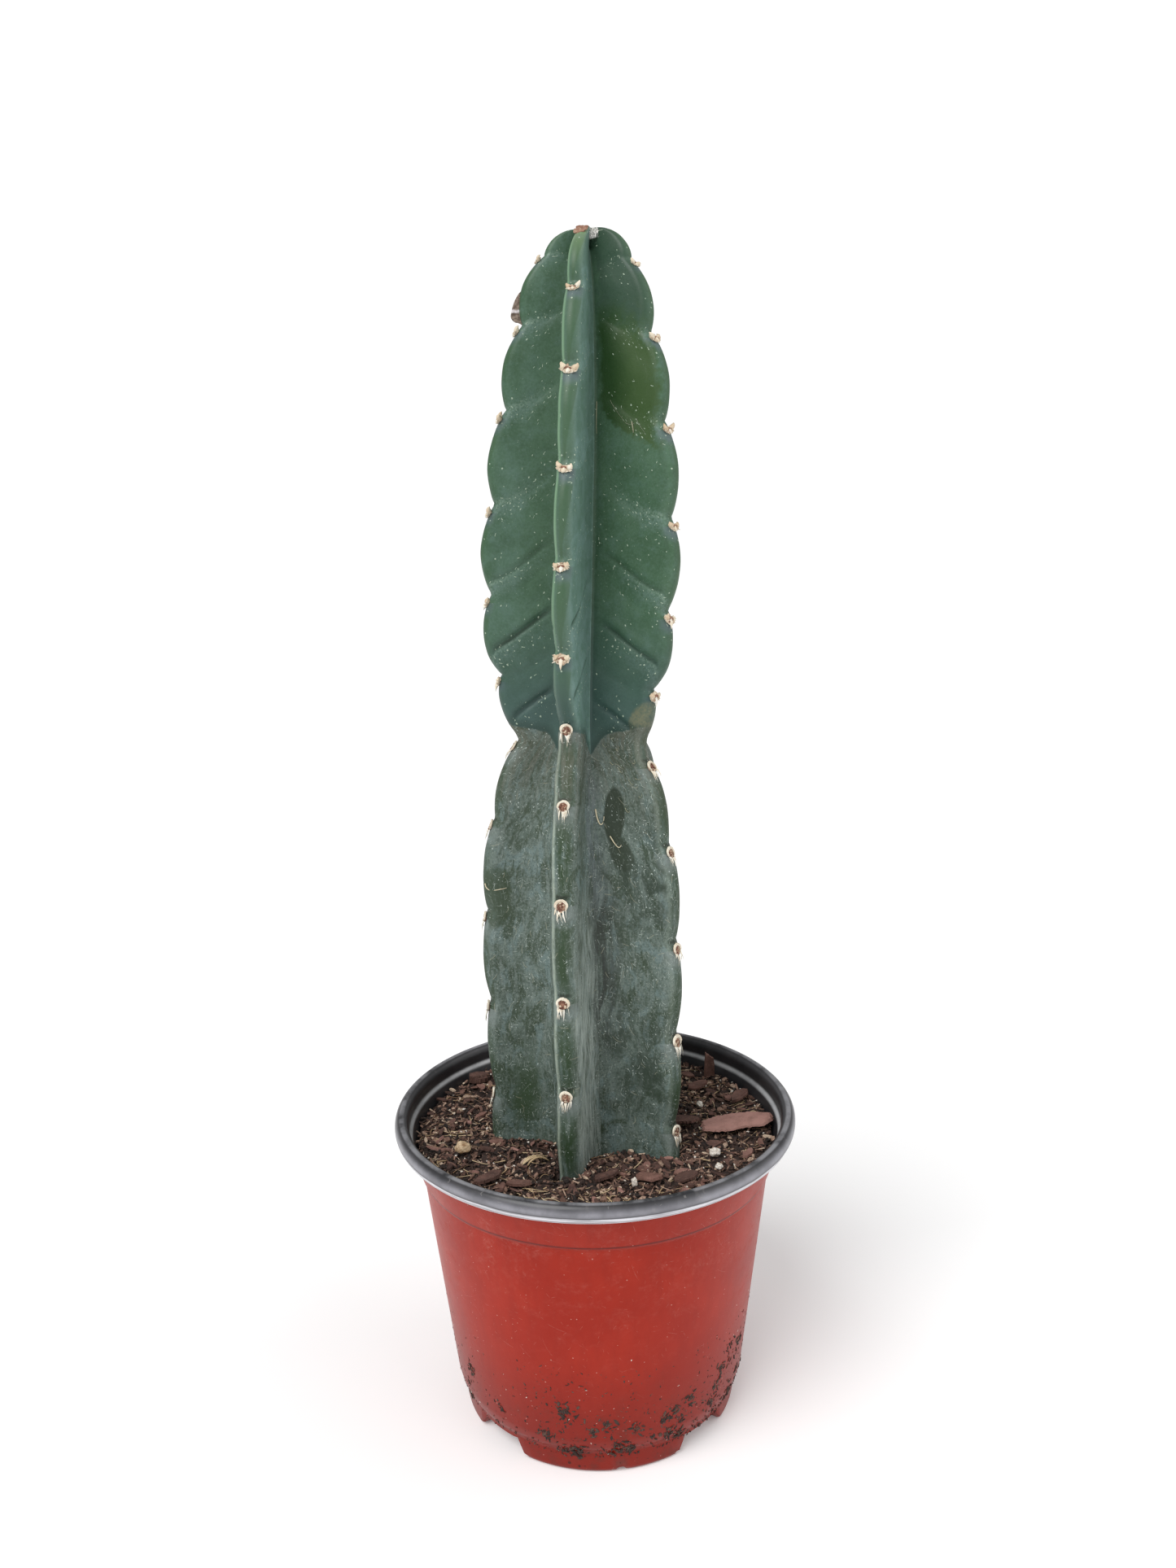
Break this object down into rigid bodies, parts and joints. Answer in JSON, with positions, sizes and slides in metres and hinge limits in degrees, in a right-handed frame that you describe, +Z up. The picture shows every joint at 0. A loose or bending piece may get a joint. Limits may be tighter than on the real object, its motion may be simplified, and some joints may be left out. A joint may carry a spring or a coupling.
{
  "type": "potted columnar cactus",
  "caption": "Potted tall cactus: a ribbed green column in two growths with a neck, in a round nursery pot of bark potting mix.",
  "frame": {"origin": "centre of the pot's foot, on the surface that it stands on", "axes": "+Z up along the pot and the stem; -Y is the front, where one rib faces slightly to the left"},
  "size_m": [0.152, 0.152, 0.4305],
  "materials": {
    "cactus_skin": "satin waxy living skin with blue-grey bloom",
    "areole_felt": "short woolly felt, cream with brown centres",
    "spine": "dry horn",
    "pot_red": "satin, scuffed",
    "pot_black": "semi-gloss, scuffed",
    "potting_mix": "loose and matte",
    "bark": "rough and matte",
    "perlite": "porous and matte",
    "grit_stone": "matte",
    "straw": "dry plant fibre"
  },
  "bodies": {
    "root": {"pot": "pot_red", "potting_mix": "potting_mix", "cactus_stem": "cactus_skin", "bark_chip_large": "bark", "bark_chip_beside": "bark", "bark_chip_right_back": "bark", "bark_chip_back": "bark", "bark_chip_front_left": "bark", "bark_chip_front_middle": "bark", "bark_chip_front": "bark", "bark_chip_front_right": "bark", "bark_chip_right": "bark", "bark_chip_upright": "bark", "bark_lump": "bark", "perlite_grain_right": "perlite", "perlite_grain_front": "perlite", "perlite_grain_front_right": "perlite", "perlite_grain_middle": "perlite", "grit_stone": "grit_stone"}
  },
  "joints": []
}
